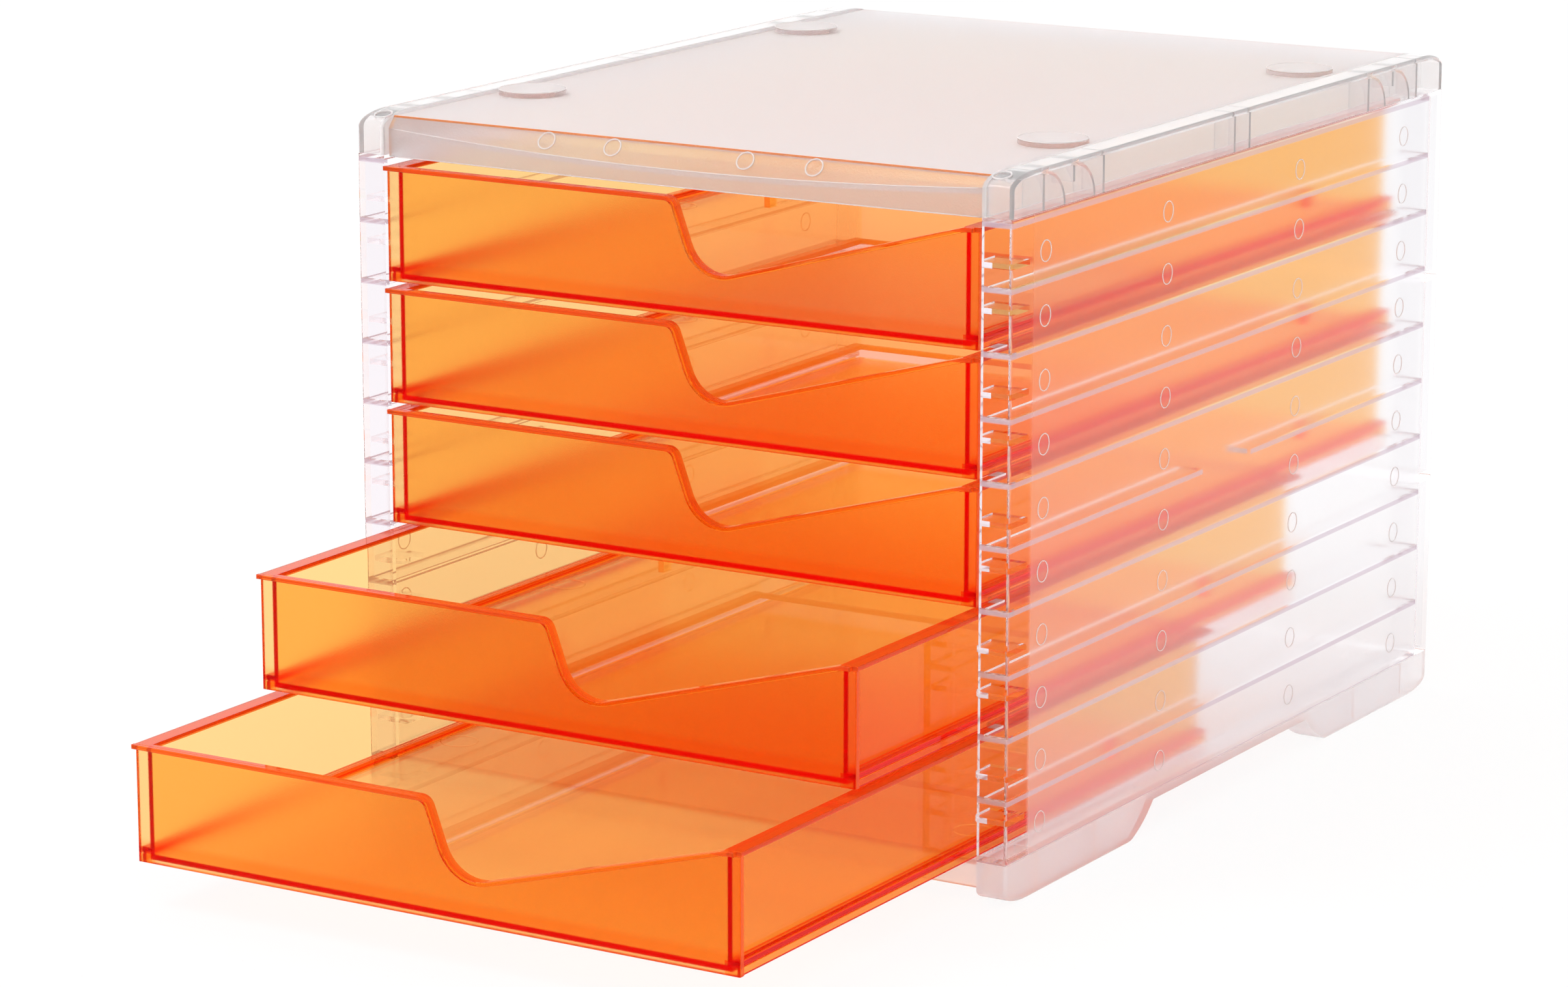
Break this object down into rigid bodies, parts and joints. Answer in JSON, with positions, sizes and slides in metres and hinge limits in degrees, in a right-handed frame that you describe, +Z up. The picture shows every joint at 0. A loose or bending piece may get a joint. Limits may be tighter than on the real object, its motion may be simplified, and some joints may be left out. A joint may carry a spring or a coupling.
{
  "type": "drawer box",
  "caption": "Desktop drawer box: translucent orange trays with a finger scoop slide on shelves in a clear clip-together housing with frosted sides, a bowed lid and stacking studs.",
  "frame": {"origin": "centre of the housing's footprint, on the surface that its feet stand on", "axes": "+Z up through the stacking studs, trays open towards -Y, +X to the right seen from the front"},
  "size_m": [0.27, 0.4994, 0.2566],
  "materials": {
    "orange_tray": "translucent orange, glossy, with a satin front face",
    "frosted_side": "clear plastic with a frosted outer skin",
    "frosted_lid": "clear plastic with a frosted top and a satin front rail",
    "clear_rail": "clear and polished",
    "clear_base": "clear and polished",
    "frosted_back": "clear plastic with a frosted outer skin"
  },
  "bodies": {
    "housing": {"lid_plate": "frosted_lid", "left_lid_rail": "clear_rail", "right_lid_rail": "clear_rail", "base_plate": "clear_base", "left_base_rail": "clear_rail", "right_base_rail": "clear_rail", "left_side_panel": "frosted_side", "right_side_panel": "frosted_side", "lower_back_panel": "frosted_back", "middle_back_panel": "frosted_back", "upper_back_panel": "frosted_back"},
    "drawer_1": {"drawer_1": "orange_tray"},
    "drawer_2": {"drawer_2": "orange_tray"},
    "drawer_3": {"drawer_3": "orange_tray"},
    "drawer_4": {"drawer_4": "orange_tray"},
    "drawer_5": {"drawer_5": "orange_tray"}
  },
  "joints": [
    {"name": "drawer_1_slide", "type": "slide", "parent": "housing", "child": "drawer_1", "axis": [0, -1, 0], "range_m": [0, 0.24]},
    {"name": "drawer_2_slide", "type": "slide", "parent": "housing", "child": "drawer_2", "axis": [0, -1, 0], "range_m": [0, 0.24]},
    {"name": "drawer_3_slide", "type": "slide", "parent": "housing", "child": "drawer_3", "axis": [0, -1, 0], "range_m": [0, 0.24]},
    {"name": "drawer_4_slide", "type": "slide", "parent": "housing", "child": "drawer_4", "axis": [0, -1, 0], "range_m": [-0.0802, 0.1598]},
    {"name": "drawer_5_slide", "type": "slide", "parent": "housing", "child": "drawer_5", "axis": [0, -1, 0], "range_m": [-0.1526, 0.0874]}
  ]
}
